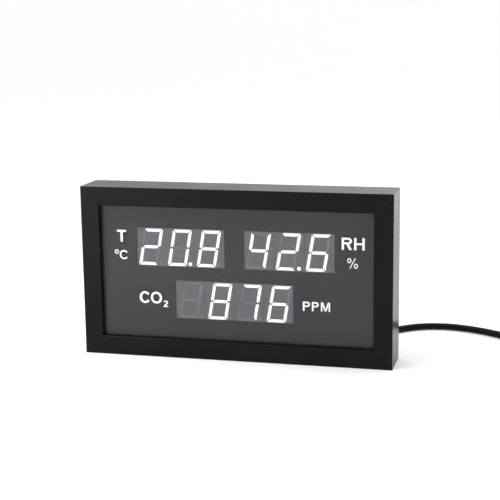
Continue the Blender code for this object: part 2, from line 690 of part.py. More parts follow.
def build_plug(tail_end, heading):
    """Round earthed plug that lies on its side, with two pins."""
    turn = (0, math.pi / 2, math.atan2(heading.y, heading.x))
    turned("plug_body", "black_plastic", PLUG_PROFILE, tail_end, turn)
    sideways = Vector((-heading.y, heading.x, 0)) * PIN_SPACING / 2
    pin_profile = [
        (0, PIN_LENGTH),
        (PIN_RADIUS * 0.6, PIN_LENGTH),
        (PIN_RADIUS, PIN_LENGTH - PIN_TIP),
        (PIN_RADIUS, 0),
        (0, 0),
    ]
    for index, side in enumerate((-1, 1)):
        root = tail_end + heading * (PLUG_FACE + GAP) + sideways * side
        turned(f"plug_pin_{index + 1}", "pin_nickel", pin_profile, root, turn, steps=16)


clear_scene()
build_frame()
build_brackets()
build_display()
build_cover()
build_main_board()
build_power_board()
build_mains_lead()
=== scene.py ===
"""Carbon dioxide monitor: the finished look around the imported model.

Units are metres, +Z is up and the display faces -Y. The origin is the centre of the frame's
lower face. The file is laid out as an add-on and is run as a script.
"""

import math

import bmesh
import bpy
import numpy as np
from mathutils import Euler, Matrix, Vector


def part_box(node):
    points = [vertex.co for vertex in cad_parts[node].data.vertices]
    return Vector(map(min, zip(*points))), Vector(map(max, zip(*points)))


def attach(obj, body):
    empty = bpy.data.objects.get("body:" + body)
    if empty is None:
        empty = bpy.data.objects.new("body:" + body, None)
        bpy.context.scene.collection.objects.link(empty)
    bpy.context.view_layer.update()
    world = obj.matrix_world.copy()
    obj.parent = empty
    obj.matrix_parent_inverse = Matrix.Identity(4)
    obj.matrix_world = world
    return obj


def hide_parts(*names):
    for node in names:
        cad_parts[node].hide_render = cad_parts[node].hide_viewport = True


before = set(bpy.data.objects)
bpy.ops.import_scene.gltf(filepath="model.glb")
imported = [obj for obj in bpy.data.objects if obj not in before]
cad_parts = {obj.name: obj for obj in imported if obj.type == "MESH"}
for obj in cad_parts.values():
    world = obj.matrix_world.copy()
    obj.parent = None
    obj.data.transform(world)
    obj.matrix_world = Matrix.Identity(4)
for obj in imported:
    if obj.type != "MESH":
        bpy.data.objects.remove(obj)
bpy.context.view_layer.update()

bl_info = {
    "name": "Carbon dioxide monitor",
    "version": (1, 0, 0),
    "blender": (4, 5, 0),
    "location": "View3D > Sidebar > Monitor",
    "description": "Builds the visible pieces and finishes of a carbon dioxide monitor",
    "category": "Object",
}

MM = 0.001
FULL_TURN = 2 * math.pi
WINDOW_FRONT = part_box("front_window")[0].y
COVER_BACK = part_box("rear_cover")[1].y

# The mains lead: where it lies on the floor, then its coil, then its rise to the plug
LEAD_RADIUS = 3.5 * MM
LEAD_FLOOR_Z = 3.7 * MM
LEAD_EXIT = (0.1150, 0.0500, 0.0240)
LEAD_ROUTE = (
    LEAD_EXIT,
    (0.1151, 0.0600, 0.0238),
    (0.1163, 0.0740, 0.0208),
    (0.1200, 0.0880, 0.0145),
    (0.1275, 0.1005, 0.0078),
    (0.1380, 0.1118, 0.0043),
    (0.1502, 0.1228, LEAD_FLOOR_Z),
    (0.1645, 0.1345, LEAD_FLOOR_Z),
    (0.1797, 0.1416, LEAD_FLOOR_Z),
    (0.1951, 0.1443, LEAD_FLOOR_Z),
    (0.2111, 0.1431, LEAD_FLOOR_Z),
    (0.2273, 0.1384, LEAD_FLOOR_Z),
    (0.2433, 0.1312, LEAD_FLOOR_Z),
    (0.2592, 0.1215, LEAD_FLOOR_Z),
    (0.2666, 0.1160, 0.0040),
    (0.2722, 0.1087, 0.0043),
    (0.2760, 0.0995, 0.0046),
)
COIL_CENTRE = (0.3220, 0.0900)
COIL_OUTER = 0.0450
COIL_INNER = 0.0275
COIL_LOWER_Z = 4.7 * MM
COIL_UPPER_Z = 11.7 * MM
COIL_START = math.radians(180)
CLIMB_START = COIL_START + math.radians(900)
CLIMB_END = CLIMB_START + math.radians(90)
COIL_END = math.radians(220 + 5 * 360)
TAIL_LENGTH = 0.0480
TAIL_HEADING = COIL_END + math.pi / 2
PLUG_AXIS_Z = 18.6 * MM
TAIL_END = np.array((
    COIL_CENTRE[0] + COIL_OUTER * math.cos(COIL_END) + TAIL_LENGTH * math.cos(TAIL_HEADING),
    COIL_CENTRE[1] + COIL_OUTER * math.sin(COIL_END) + TAIL_LENGTH * math.sin(TAIL_HEADING),
    PLUG_AXIS_Z,
))
LEAD_ROOT = 2.5 * MM  # how far the lead is drawn inside the strain relief's tip
LEAD_STEP = 4.0 * MM  # between points on the floor
COIL_STEP = 8.0  # degrees between points of the coil
TIE_WIDTH = 12.0 * MM
TIE_BAND = 0.8 * MM

# The strain relief, as radius and height in millimetres up its axis from the cover's back: the
# collar that holds it, its slotted cone's ends, and its tip with the hole for the lead
RELIEF_ROOT = ((6.6, -6.0), (7.3, -1.9), (6.2, -1.8), (6.2, 0.3), (9.3, 0.3), (9.5, 0.5),
               (9.5, 2.8), (9.4, 3.1), (9.0, 3.5), (6.4, 3.9), (6.1, 4.1))
RELIEF_CONE = ((6.0, 4.5), (4.5, 29.1))
RELIEF_TIP = ((4.35, 29.5), (4.1, 29.7), (3.8, 29.7), (3.65, 29.55), (3.65, 26.5))

# The plug: distance along its axis and radius in millimetres, from its neck to its flat end
PLUG_PROFILE = ((0, 4.3), (0.6, 4.6), (19.0, 6.0), (21.5, 8.4), (25.0, 10.9), (29.0, 13.0),
                (33.0, 14.9), (36.5, 17.0), (39.5, 18.3), (42.0, 18.5), (54.9, 18.5),
                (55.5, 18.3), (55.8, 18.0), (56.0, 17.6))
PLUG_START = 0.6 * MM  # from the lead's end to the neck's
PLUG_RADIUS = 18.5 * MM
PIN_FOOT = 56.3 * MM  # along the plug
PIN_SPACING = 19.0 * MM
CLIP_START = 43.5  # of an earth contact, in millimetres along the plug
CLIP_END = 54.5
CLIP_SECTION = ((2.0, 0.0), (2.0, 0.5), (-2.0, 0.5), (-2.0, 0.0))  # across and outwards

# Light segments: the gap between two neighbours, how far their pointed ends are cut back, and
# the point's place from the middle of the figure's foot
SEGMENT_GAP = 0.65 * MM
SEGMENT_TRIM = 0.8 * MM
POINT_PLACE = (10.8 * MM, 2.3 * MM)
POINT_RADIUS = 1.9 * MM

# What the display reads: a row's module name, its figures, the figure its point follows, and
# where the figures stand from the middle of their modules, to the right and upwards
DISPLAY_ROWS = (
    ("temperature_digit", "208", 1, -0.6 * MM, 0.0),
    ("humidity_digit", "426", 1, -0.7 * MM, 0.0),
    ("co2_digit", " 876", None, 0.8 * MM, -0.3 * MM),
)
LIT_SEGMENTS = {" ": "", "0": "abcdef", "2": "abdeg", "4": "bcfg", "6": "acdefg", "7": "abc",
                "8": "abcdefg"}

# Unit legends: sign, stroke weight, then its low and high X and low and high Z in millimetres
LEFT_LEGENDS = (
    ("T", 0.200, -125.2, -115.5, 120.2, 132.4),
    ("degree", 0.190, -128.3, -124.0, 107.0, 111.6),
    ("C", 0.160, -123.1, -114.5, 101.6, 111.1),
    ("C", 0.190, -102.6, -91.9, 55.8, 68.3),
    ("O", 0.190, -90.4, -78.2, 55.8, 68.3),
    ("2", 0.190, -76.6, -71.8, 52.6, 59.4),
)
RIGHT_LEGENDS = (
    ("R", 0.190, 110.3, 120.7, 120.1, 132.3),
    ("H", 0.190, 122.8, 133.3, 120.1, 132.3),
    ("%", 0.090, 116.1, 126.6, 101.3, 111.8),
    ("P", 0.190, 70.8, 78.1, 55.8, 65.3),
    ("P", 0.190, 80.0, 87.1, 55.8, 65.3),
    ("M", 0.190, 89.3, 98.7, 55.8, 65.3),
)

# Studio light: the world's strength in front of and behind the object and how much of it is
# left towards the back left; the sun, as where it comes from, its strength and its spread in
# degrees; and the softboxes, each with its place, its side, its power and where it looks.
# The floor reaches far out, so that low views have no edge in them.
WORLD_FRONT = 0.20
WORLD_BACK = 1.36
WORLD_LEFT = 0.66
SUN = ((0.10, -0.25, 1.0), 1.58, 80.0)
SOFTBOXES = (
    ("overhead softbox", (-0.56, -0.30, 0.76), 0.55, 6.5, (-0.16, -0.20, 0.0)),
    ("front softbox", (-1.60, -2.60, 0.30), 0.55, 36.0, (-0.10, 0.0, 0.09)),
    ("back softbox", (0.60, 1.35, 0.70), 0.55, 5.0, (0.28, 0.85, 0.0)),
)
FLOOR_REACH = 60.0
FLOOR_Z = -0.1 * MM


# ---- settings

class MonitorCamera(bpy.types.PropertyGroup):
    """Where the picture is taken from."""
    place: bpy.props.FloatVectorProperty(
        name="Place", description="Camera position", subtype="TRANSLATION", unit="LENGTH",
        default=(0.3246, -1.2294, 0.3687))
    azimuth: bpy.props.FloatProperty(
        name="Azimuth", description="Turn about the vertical, from the front", subtype="ANGLE",
        default=math.radians(14.277))
    elevation: bpy.props.FloatProperty(
        name="Elevation", description="How far the camera looks down", subtype="ANGLE",
        default=math.radians(11.425))
    roll: bpy.props.FloatProperty(
        name="Roll", description="Tilt about the line of sight", subtype="ANGLE",
        default=math.radians(-0.717))
    lens: bpy.props.FloatProperty(
        name="Lens", description="Focal length in millimetres on a 36 mm sensor", default=90.84)


class MonitorSizes(bpy.types.PropertyGroup):
    """Sizes of the display that a user may change."""
    digit_height: bpy.props.FloatProperty(
        name="Digit height", description="Height of a lit figure", unit="LENGTH",
        default=38.1 * MM)
    digit_width: bpy.props.FloatProperty(
        name="Digit width", description="Width of a figure, upright", unit="LENGTH",
        default=20.2 * MM)
    stroke: bpy.props.FloatProperty(
        name="Stroke", description="Width of one light segment", unit="LENGTH",
        default=3.05 * MM)
    slant: bpy.props.FloatProperty(
        name="Slant", description="Lean of the figures", subtype="ANGLE",
        default=math.radians(10.0))


class MonitorColours(bpy.types.PropertyGroup):
    """Colours that a user may change, as linear values."""
    light: bpy.props.FloatVectorProperty(
        name="Light", description="Colour of a lit segment", subtype="COLOR",
        default=(0.90, 0.96, 1.0))
    light_strength: bpy.props.FloatProperty(
        name="Light strength", description="Brightness of a lit segment", default=1.9)


# ---- helpers

def linear(code):
    """Linear RGBA of an sRGB hex value."""
    channels = [int(code[index:index + 2], 16) / 255 for index in (1, 3, 5)]
    lifted = [c / 12.92 if c <= 0.04045 else ((c + 0.055) / 1.055) ** 2.4 for c in channels]
    return (*lifted, 1.0)


def add(tree, kind, inputs=None, **settings):
    """Add one shader node with its settings; an input is a value or another node's output."""
    made = tree.nodes.new(kind)
    for name, value in settings.items():
        setattr(made, name, value)
    for socket, value in (inputs or {}).items():
        if isinstance(value, bpy.types.NodeSocket):
            tree.links.new(value, made.inputs[socket])
        else:
            made.inputs[socket].default_value = value
    return made


def new_material(name):
    """An empty material, and the object's own coordinates in it."""
    material = bpy.data.materials.new(name)
    material.use_nodes = True
    material.node_tree.nodes.clear()
    return material, add(material.node_tree, "ShaderNodeTexCoord").outputs["Object"]


def noise(place, scale, detail, distortion=0.0):
    """Noise with so many bumps to the metre."""
    inputs = {"Vector": place, "Scale": scale, "Detail": detail, "Distortion": distortion}
    return add(place.id_data, "ShaderNodeTexNoise", inputs).outputs["Fac"]


def bump(height, strength, distance):
    """Normals of a relief that a pattern raises by distance in metres."""
    inputs = {"Height": height, "Strength": strength, "Distance": distance}
    return add(height.id_data, "ShaderNodeBump", inputs).outputs["Normal"]


def math_node(operation, first, second=0.0):
    """One sum on an output, and on a number or another output."""
    made = add(first.id_data, "ShaderNodeMath", {0: first, 1: second}, operation=operation)
    return made.outputs["Value"]


def surfaced(material, inputs):
    """The material, with its tree ended in a Principled surface."""
    tree = material.node_tree
    shader = add(tree, "ShaderNodeBsdfPrincipled", inputs)
    add(tree, "ShaderNodeOutputMaterial", {"Surface": shader.outputs["BSDF"]})
    return material


def two_tone(driver, dark, light):
    """Colour that runs from dark to light over the middle of a pattern's range."""
    ramp = add(driver.id_data, "ShaderNodeValToRGB", {"Fac": driver})
    ramp.color_ramp.elements[0].position = 0.34
    ramp.color_ramp.elements[0].color = linear(dark)
    ramp.color_ramp.elements[1].position = 0.68
    ramp.color_ramp.elements[1].color = linear(light)
    return ramp.outputs["Color"]


def spread(driver, low, high):
    """Number that runs from low to high over the middle of a pattern's range."""
    limits = {"Value": driver, "From Min": 0.3, "From Max": 0.7, "To Min": low, "To Max": high}
    return add(driver.id_data, "ShaderNodeMapRange", limits).outputs["Result"]


def smooth_line(knots, spacing):
    """Evenly spaced points on a Catmull-Rom curve: each stretch is the cubic whose slope at
    a knot is half the step from the knot before to the knot after."""
    knots = np.asarray(knots, float)
    ends = np.vstack([2 * knots[0] - knots[1], knots, 2 * knots[-1] - knots[-2]])
    share = np.linspace(0, 1, 24, endpoint=False)[:, None]
    powers = np.hstack([np.ones_like(share), share, share ** 2, share ** 3])
    rule = 0.5 * np.array([[0, 2, 0, 0], [-1, 0, 1, 0], [2, -5, 4, -1], [-1, 3, -3, 1]])
    spans = np.stack([ends[:-3], ends[1:-2], ends[2:-1], ends[3:]], axis=1)
    dense = np.einsum("sp,pk,nkc->nsc", powers, rule, spans).reshape(-1, 3)
    dense = np.vstack([dense, knots[-1]])
    travelled = np.concatenate([[0], np.cumsum(np.linalg.norm(np.diff(dense, axis=0), axis=1))])
    stops = np.linspace(0, travelled[-1], max(3, round(travelled[-1] / spacing) + 1))
    return np.stack([np.interp(stops, travelled, dense[:, axis]) for axis in range(3)], axis=1)


def put(name, data):
    """A new object in the scene."""
    made = bpy.data.objects.new(name, data)
    bpy.context.scene.collection.objects.link(made)
    return made


def finish_piece(piece, body, material):
    """Give a new piece its material and its body."""
    piece.data.materials.clear()
    piece.data.materials.append(material)
    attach(piece, body)
    return piece


def shell(points, wrap_u=False, wrap_v=False, caps=False):
    """Vertices and faces of a surface given as a grid, points[u, v]. A wrap joins the last row
    or column to the first, and caps closes both ends of u with one face each."""
    rows, columns = points.shape[:2]
    index = np.arange(rows * columns).reshape(rows, columns)
    here = index if wrap_u else index[:-1]
    down = np.roll(index, -1, axis=0) if wrap_u else index[1:]
    if wrap_v:
        corners = (here, np.roll(here, -1, axis=1), np.roll(down, -1, axis=1), down)
    else:
        corners = (here[:, :-1], here[:, 1:], down[:, 1:], down[:, :-1])
    faces = np.stack(corners, axis=-1).reshape(-1, 4).tolist()
    if caps:
        faces.append(index[0, ::-1].tolist())
        faces.append(index[-1].tolist())
    return points.reshape(-1, 3), faces


def assemble(name, shells, material, body="monitor", crease=35.0):
    """One finished piece from several shells: faces turned outwards, and smooth up to the
    crease angle in degrees."""
    vertices = []
    faces = []
    count = 0
    for points, quads in shells:
        vertices.append(points)
        faces += [[corner + count for corner in face] for face in quads]
        count += len(points)
    mesh = bpy.data.meshes.new(name)
    mesh.from_pydata(np.vstack(vertices).tolist(), [], faces)
    solid = bmesh.new()
    solid.from_mesh(mesh)
    bmesh.ops.recalc_face_normals(solid, faces=solid.faces)
    solid.to_mesh(mesh)
    solid.free()
    mesh.shade_smooth()
    mesh.set_sharp_from_angle(angle=math.radians(crease))
    return finish_piece(put(name, mesh), body, material)


def circle(steps):
    """Angles at equal steps round a full turn."""
    return np.linspace(0, FULL_TURN, steps, endpoint=False)


def facing(angle):
    """Unit vectors at some angles, one to a row."""
    return np.stack([np.cos(angle), np.sin(angle)], axis=1)


def round_about(radius, height, steps):
    """Grid of a turned shape: each profile point (radius, height) goes round the local Z axis.
    Either may change with the angle, as an array [point, angle]."""
    angle = circle(steps)
    grids = []
    for values in (radius, height):
        values = np.asarray(values, float)
        grids.append(values if values.ndim == 2 else np.repeat(values[:, None], steps, axis=1))
    return np.stack([grids[0] * np.cos(angle), grids[0] * np.sin(angle), grids[1]], axis=-1)


def stand(points, origin, axis, across):
    """Closed shell of a turned grid, carried to its place: Z to axis and X to across."""
    axis = np.asarray(axis, float)
    across = np.asarray(across, float)
    placed = np.asarray(origin) + points @ np.stack([across, np.cross(axis, across), axis])
    return shell(placed, wrap_v=True, caps=True)


def step_up(value, low, high):
    """0 below low, 1 above high, and the smooth cubic between."""
    share = np.clip((np.asarray(value) - low) / (high - low), 0, 1)
    return share * share * (3 - 2 * share)


def dress(material, *nodes):
    """Give CAD nodes their finish."""
    for name in nodes:
        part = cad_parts[name]
        part.data.materials.clear()
        part.data.materials.append(material)


# ---- materials

def anodised_aluminium():
    """Black anodised aluminium, matt etched before dyeing: near black and silky, slightly
    cloudy from the dye bath, with a fine etch that spreads its highlights."""
    material, place = new_material("anodised aluminium, etched, black")
    cloud = noise(place, 22.0, 3.0)
    etch = noise(place, 1300.0, 2.0)
    return surfaced(material, {
        "Base Color": two_tone(cloud, "#0A0A0B", "#0E0E0F"),
        "Roughness": spread(cloud, 0.23, 0.28), "IOR": 1.48, "Specular IOR Level": 0.11,
        "Normal": bump(etch, 0.10, 0.05 * MM),
    })


def moulded_plastic(name, dark, light, roughness, grain, relief_depth):
    """Moulded plastic with the spark-eroded grain of its tool: satin, slightly uneven in
    tone. grain is the size of one bump of the texture in metres."""
    material, place = new_material(name)
    cloud = noise(place, 70.0, 3.0)
    texture = noise(place, 1 / grain, 2.0)
    return surfaced(material, {
        "Base Color": two_tone(cloud, dark, light),
        "Roughness": spread(cloud, roughness - 0.04, roughness + 0.05),
        "IOR": 1.53, "Normal": bump(texture, 0.35, relief_depth),
    })


def plated_metal(name, dark, light, roughness, scratch):
    """Plated metal: bright, with the soft clouding of the bath and fine handling scratches."""
    material, place = new_material(name)
    cloud = noise(place, 160.0, 4.0)
    lines = noise(place, 1 / scratch, 1.0, 1.5)
    return surfaced(material, {
        "Base Color": two_tone(cloud, dark, light), "Metallic": 1.0,
        "Roughness": spread(cloud, roughness - 0.05, roughness + 0.08),
        "Normal": bump(lines, 0.12, 0.02 * MM),
    })


def powder_coat():
    """Black polyester powder coat on sheet steel: fine orange peel, satin. The real grain is
    about 0.3 mm and is drawn at 0.7 mm so that it shows."""
    material, place = new_material("polyester powder coat, fine texture, black")
    cloud = noise(place, 18.0, 3.0)
    peel = add(material.node_tree, "ShaderNodeTexVoronoi",
               {"Vector": place, "Scale": 1 / (0.7 * MM)}, feature="SMOOTH_F1")
    return surfaced(material, {
        "Base Color": two_tone(cloud, "#1D1D1E", "#242425"),
        "Roughness": spread(cloud, 0.46, 0.55),
        "Normal": bump(peel.outputs["Distance"], 0.30, 0.08 * MM),
    })


def smoked_acrylic():
    """Cast acrylic, smoked and polished: dark, sees through to the digits, and mirrors the
    table softly. Both faces of the pane are drawn, so each is given half of the tint."""
    material, place = new_material("cast acrylic, smoked, polished")
    haze = noise(place, 9.0, 2.0)
    return surfaced(material, {
        "Base Color": two_tone(haze, "#27282A", "#2C2D30"),
        "Roughness": spread(haze, 0.03, 0.06), "IOR": 1.49,
        "Coat Weight": 0.6, "Coat Roughness": 0.04, "Alpha": 0.30,
    })


def segment_light(colour, strength):
    """Lit segment of diffusing white epoxy: the light is even, a little cooler than white."""
    material, place = new_material("diffusing epoxy, lit")
    cloud = noise(place, 240.0, 1.0)
    return surfaced(material, {
        "Base Color": two_tone(cloud, "#E6ECF2", "#F4F8FC"),
        "Roughness": 0.35, "Emission Color": (*colour, 1.0),
        "Emission Strength": strength,
    })


def circuit_board():
    """Glass fibre board under green solder mask. Copper tracks show as lighter green lines:
    they follow the sine of the distance from scattered middles, about 3.5 mm apart. Bare
    pads, round such middles 3.2 mm apart, are gold."""
    material, place = new_material("glass fibre board, green solder mask")
    tree = material.node_tree
    cells = add(tree, "ShaderNodeTexVoronoi", {"Vector": place, "Scale": 1 / (5.0 * MM)},
                distance="MANHATTAN")
    wires = math_node("MULTIPLY", cells.outputs["Distance"], 9.0)
    track = math_node("GREATER_THAN", math_node("SINE", wires), 0.55)
    spots = add(tree, "ShaderNodeTexVoronoi", {"Vector": place, "Scale": 1 / (3.2 * MM),
                                              "Randomness": 0.55})
    pad = math_node("LESS_THAN", spots.outputs["Distance"], 0.17)
    tone = add(tree, "ShaderNodeMix", {"Factor": track, "A": linear("#0B3F24"),
                                      "B": linear("#13603A")}, data_type="RGBA")
    gold = add(tree, "ShaderNodeMix", {"Factor": pad, "A": tone.outputs["Result"],
                                      "B": linear("#C9A45A")}, data_type="RGBA")
    return surfaced(material, {
        "Base Color": gold.outputs["Result"], "Metallic": pad,
        "Roughness": 0.36, "Normal": bump(track, 0.3, 0.04 * MM),
    })


def printed_ink(name, dark, light):
    """Screen-printed ink, fired on: dense and matt, a trace of the mesh in its tone."""
    material, place = new_material(name)
    screen = noise(place, 900.0, 1.0)
    return surfaced(material, {
        "Base Color": two_tone(screen, dark, light), "Roughness": 0.55,
    })


def woven_band():
    """Woven nylon hook-and-loop band: dull black, ribs of yarn about 1.6 mm apart each way. A
    wave has 20 / 2 pi ribs to one unit of its scale."""
    material, place = new_material("woven nylon band, black")
    ribs = []
    for direction in ("Y", "DIAGONAL"):
        inputs = {"Vector": place, "Scale": 1 / (5.04 * MM), "Distortion": 0.4}
        wave = add(material.node_tree, "ShaderNodeTexWave", inputs, bands_direction=direction)
        ribs.append(wave.outputs["Fac"])
    weave = math_node("MULTIPLY", *ribs)
    return surfaced(material, {
        "Base Color": two_tone(weave, "#0C0C0D", "#1A1A1C"),
        "Roughness": 0.8, "Sheen Weight": 0.12, "Normal": bump(weave, 0.6, 0.25 * MM),
    })


def cord_sheath():
    """Extruded PVC sheath: satin black, slightly uneven, with a little dust in its tone."""
    material, place = new_material("PVC sheath, extruded, black")
    dust = noise(place, 90.0, 4.0)
    return surfaced(material, {
        "Base Color": two_tone(dust, "#090909", "#0E0E0F"),
        "Roughness": spread(dust, 0.36, 0.46), "Specular IOR Level": 0.10,
        "Normal": bump(dust, 0.12, 0.1 * MM),
    })


def floor_paper():
    """White studio paper: matt and plain, with a faint tooth in its tone."""
    material, place = new_material("studio paper, white")
    tooth = noise(place, 40.0, 2.0)
    return surfaced(material, {
        "Base Color": two_tone(tooth, "#F2F2F2", "#F5F5F5"),
        "Roughness": 0.85, "IOR": 1.2,
    })


# ---- operators

class MONITOR_OT_camera(bpy.types.Operator):
    """Place the camera"""
    bl_idname = "monitor.camera"
    bl_label = "Camera"

    def execute(self, context):
        settings = context.scene.monitor_camera
        lens = bpy.data.cameras.new("camera")
        lens.sensor_width = 36.0
        lens.lens = settings.lens
        lens.clip_start = 0.01
        camera = put("camera", lens)
        aim = Euler((math.pi / 2 - settings.elevation, 0.0, settings.azimuth)).to_matrix().to_4x4()
        roll = Matrix.Rotation(settings.roll, 4, "Z")
        camera.matrix_world = Matrix.Translation(settings.place) @ aim @ roll
        context.scene.camera = camera
        return {"FINISHED"}


class MONITOR_OT_lead(bpy.types.Operator):
    """Lay the mains lead: its stretch on the floor, its coil, the tie and the strain relief"""
    bl_idname = "monitor.lead"
    bl_label = "Mains lead"

    def execute(self, context):
        line = lead_line()
        curve = bpy.data.curves.new("mains_lead", "CURVE")
        curve.dimensions = "3D"
        curve.bevel_depth = LEAD_RADIUS
        curve.bevel_resolution = 5
        curve.use_fill_caps = True
        spline = curve.splines.new("POLY")
        spline.points.add(len(line) - 1)
        spline.points.foreach_set("co", np.hstack([line, np.ones((len(line), 1))]).ravel())
        lead = finish_piece(put("mains_lead", curve), "monitor", cord_sheath())
        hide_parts("power_cord", "power_cord_coil", "power_cord_tail")
        band = assemble("lead_tie", tie_shells(), woven_band())
        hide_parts("cord_tie")
        rubber = moulded_plastic("soft PVC, moulded, black", "#0D0D0E", "#141415", 0.46,
                                 0.5 * MM, 0.05 * MM)
        relief = assemble("lead_strain_relief", [relief_shell()], rubber)
        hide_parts("strain_relief")
        plug, pins, clips = build_plug(rubber)
        return {"FINISHED"}


def coil_at(angle):
    """Radius and height of the coiled lead at an angle: a flat spiral inwards, a climb of one
    diameter, and a flat spiral outwards above it. A spiral's radius changes evenly."""
    radius = np.interp(angle, (COIL_START, CLIMB_START, CLIMB_END, COIL_END),
                       (COIL_OUTER, COIL_INNER, COIL_INNER, COIL_OUTER))
    climb = step_up(angle, CLIMB_START, CLIMB_END)
    return radius, COIL_LOWER_Z + (COIL_UPPER_Z - COIL_LOWER_Z) * climb


def lead_line():
    """Centreline of the lead: the smooth floor stretch, the coil, and a straight tail that
    rises to the plug."""
    steps = round(math.degrees(COIL_END - COIL_START) / COIL_STEP)
    angle = np.linspace(COIL_START, COIL_END, steps + 1)
    radius, height = coil_at(angle)
    coil = np.column_stack([COIL_CENTRE + radius[:, None] * facing(angle), height])
    share = np.linspace(0.15, 1.0, 10)
    tail = coil[-1] + (TAIL_END - coil[-1]) * share[:, None]
    tail[:, 2] = coil[-1, 2] + (TAIL_END[2] - coil[-1, 2]) * step_up(share, 0.0, 0.92)
    root = np.array(LEAD_EXIT) - (0, LEAD_ROOT, 0)
    return np.vstack([smooth_line((root, *LEAD_ROUTE), LEAD_STEP), coil, tail])


def tie_shells():
    """The tie: for each direction in the band's plane it touches the turn of the lead that
    lies farthest that way, at the turn's radius plus half its own thickness. Across its width
    it follows the turns as they curve away. A second, shorter layer is its overlapped end."""
    first = math.ceil(COIL_START / FULL_TURN)
    last = math.floor(COIL_END / FULL_TURN)
    radius, height = coil_at(np.arange(first, last + 1) * FULL_TURN)
    layers = []
    spans = ((0.0, FULL_TURN, 121, 0.1 * MM, True),
             (math.radians(35), math.radians(140), 45, 1.0 * MM, False))
    for start, stop, count, lift, closed in spans:
        angle = np.linspace(start, stop, count)[:-1 if closed else None]
        outwards = facing(angle)
        sheets = []
        for thickness in (0.0, TIE_BAND):
            rows = []
            for offset in np.linspace(-TIE_WIDTH / 2, TIE_WIDTH / 2, 9):
                turns = np.stack([np.sqrt(radius ** 2 - offset ** 2), height], axis=1)
                outermost = turns[np.argmax(outwards @ turns.T, axis=1)]
                flat = outermost + (LEAD_RADIUS + lift + thickness) * outwards
                rows.append(np.stack([COIL_CENTRE[0] + flat[:, 0],
                                      np.full(len(flat), COIL_CENTRE[1] + offset),
                                      flat[:, 1]], axis=1))
            sheets.append(np.stack(rows, axis=1))
        loop = np.concatenate([sheets[0], sheets[1][:, ::-1]], axis=1)
        layers.append(shell(loop, wrap_u=closed, wrap_v=True, caps=not closed))
    return layers


def neck_slots(length, angle, first, pitch, width, edge, count):
    """Short slots cut across a flexible neck, as their share of full depth at [length, angle]:
    they lie at equal steps, each has soft edges, and every second one is turned by a quarter."""
    order = np.floor((length - first) / pitch)
    along = (length - first) - order * pitch
    cut = step_up(along, 0, edge) - step_up(along, width, width + edge)
    cut = cut * ((order >= 0) & (order < count))
    quarter = np.where(order % 2 == 0, 0.0, math.pi / 2)
    side = step_up(np.abs(np.cos(angle + quarter[:, None])), 0.40, 0.55)
    return cut[:, None] * side


def relief_shell():
    """Strain relief: a cone that narrows evenly to its tip, cut by short slots. Its root is
    the collar that holds it in the cover, and its tip has the hole that the lead comes out
    of."""
    angle = circle(64)
    radii, heights = np.array(RELIEF_CONE) * MM
    cone = np.linspace(*heights, 150)
    slots = neck_slots(cone, angle, first=7.0 * MM, pitch=3.0 * MM, width=1.35 * MM,
                       edge=0.35 * MM, count=6)
    cone_radius = np.interp(cone, heights, radii)[:, None] - 0.9 * MM * slots
    root_radius, root_height = np.array(RELIEF_ROOT).T * MM
    tip_radius, tip_height = np.array(RELIEF_TIP).T * MM
    around = np.ones((1, len(angle)))
    radii = np.vstack([root_radius[:, None] * around, cone_radius, tip_radius[:, None] * around])
    heights = np.concatenate([root_height, cone, tip_height])
    grid = round_about(radii, heights, len(angle))
    return stand(grid, (LEAD_EXIT[0], COVER_BACK, LEAD_EXIT[2]), (0, 1, 0), (1, 0, 0))


def plug_grid():
    """The plug's body about its axis: its profile, less the slots of its neck, the finger
    ridges on two sides of its waist, and a channel for each earth contact."""
    angle = circle(96)
    length = np.concatenate([np.linspace(0.0, 21.0, 70), np.linspace(21.4, 54.6, 50),
                             (55.0, 55.5, 55.8, 56.0)]) * MM
    places, radii = np.array(PLUG_PROFILE).T * MM
    radius = np.interp(length, places, radii)[:, None]
    slots = neck_slots(length, angle, first=3.5 * MM, pitch=2.8 * MM, width=1.2 * MM,
                       edge=0.3 * MM, count=5)
    waist = step_up(length, 23 * MM, 26 * MM) - step_up(length, 36 * MM, 39 * MM)
    ridges = 0.5 + 0.5 * np.cos(length / (2.4 * MM) * FULL_TURN)
    grip = (waist * ridges)[:, None] * step_up(np.abs(np.cos(angle)), 0.55, 0.80)
    notch = 1 - step_up(np.abs(np.cos(angle) * PLUG_RADIUS), 3.2 * MM, 3.8 * MM)
    channel = step_up(length, 40.5 * MM, 42 * MM)[:, None] * notch
    radius = radius - 0.8 * MM * slots - 1.1 * MM * grip - 3.0 * MM * channel
    return round_about(radius, length, len(angle))


